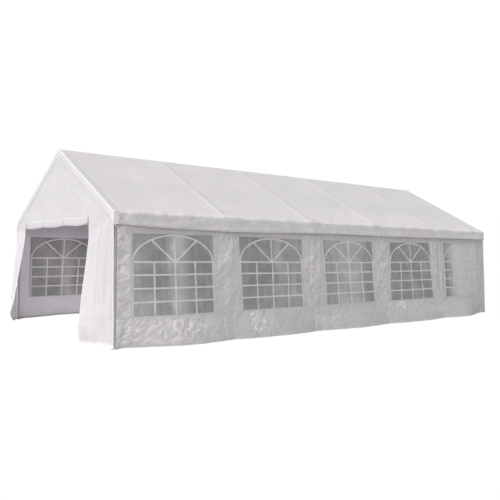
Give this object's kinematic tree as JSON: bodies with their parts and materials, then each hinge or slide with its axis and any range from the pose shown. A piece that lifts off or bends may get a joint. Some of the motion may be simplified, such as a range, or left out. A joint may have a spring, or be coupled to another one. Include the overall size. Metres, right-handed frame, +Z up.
{
  "type": "marquee tent",
  "caption": "Long gabled party marquee: steel tube portal frame, white sheet roof with valances, walls with arched clear windows, one end open under a rolled door leaf.",
  "frame": {"origin": "middle of the plan, on the ground", "axes": "+X to the side with the right wall, +Y along the length from the open doorway end to the closed end, +Z up"},
  "size_m": [5.4228, 10.2748, 3.25],
  "materials": {
    "steel_tube": "galvanised steel tube, dull grey with a faint spangle",
    "roof_sheet": "white woven polyethylene sheet with a satin coating",
    "wall_sheet": "white woven polyethylene sheet, lightly wrinkled",
    "end_sheet": "white woven polyethylene sheet, lightly wrinkled",
    "window_film": "clear flexible film, slightly milky"
  },
  "bodies": {
    "root": {"post_left_1": "steel_tube", "post_left_2": "steel_tube", "post_left_3": "steel_tube", "post_left_4": "steel_tube", "post_left_5": "steel_tube", "post_left_6": "steel_tube", "post_right_1": "steel_tube", "post_right_2": "steel_tube", "post_right_3": "steel_tube", "post_right_4": "steel_tube", "post_right_5": "steel_tube", "post_right_6": "steel_tube", "rafter_left_1": "steel_tube", "rafter_left_2": "steel_tube", "rafter_left_3": "steel_tube", "rafter_left_4": "steel_tube", "rafter_left_5": "steel_tube", "rafter_left_6": "steel_tube", "rafter_right_1": "steel_tube", "rafter_right_2": "steel_tube", "rafter_right_3": "steel_tube", "rafter_right_4": "steel_tube", "rafter_right_5": "steel_tube", "rafter_right_6": "steel_tube", "ridge_rail": "steel_tube", "eave_rail_left": "steel_tube", "eave_rail_right": "steel_tube", "mid_purlin_left": "steel_tube", "mid_purlin_right": "steel_tube", "roof_cover": "roof_sheet", "side_wall_left": "wall_sheet", "side_wall_right": "wall_sheet", "window_film_left": "window_film", "window_film_right": "window_film", "front_gable": "end_sheet", "front_panel_left": "end_sheet", "front_panel_right": "end_sheet", "rolled_door": "end_sheet", "back_gable": "end_sheet", "back_panel_left": "end_sheet", "back_panel_right": "end_sheet", "back_door_leaf": "end_sheet"}
  },
  "joints": []
}
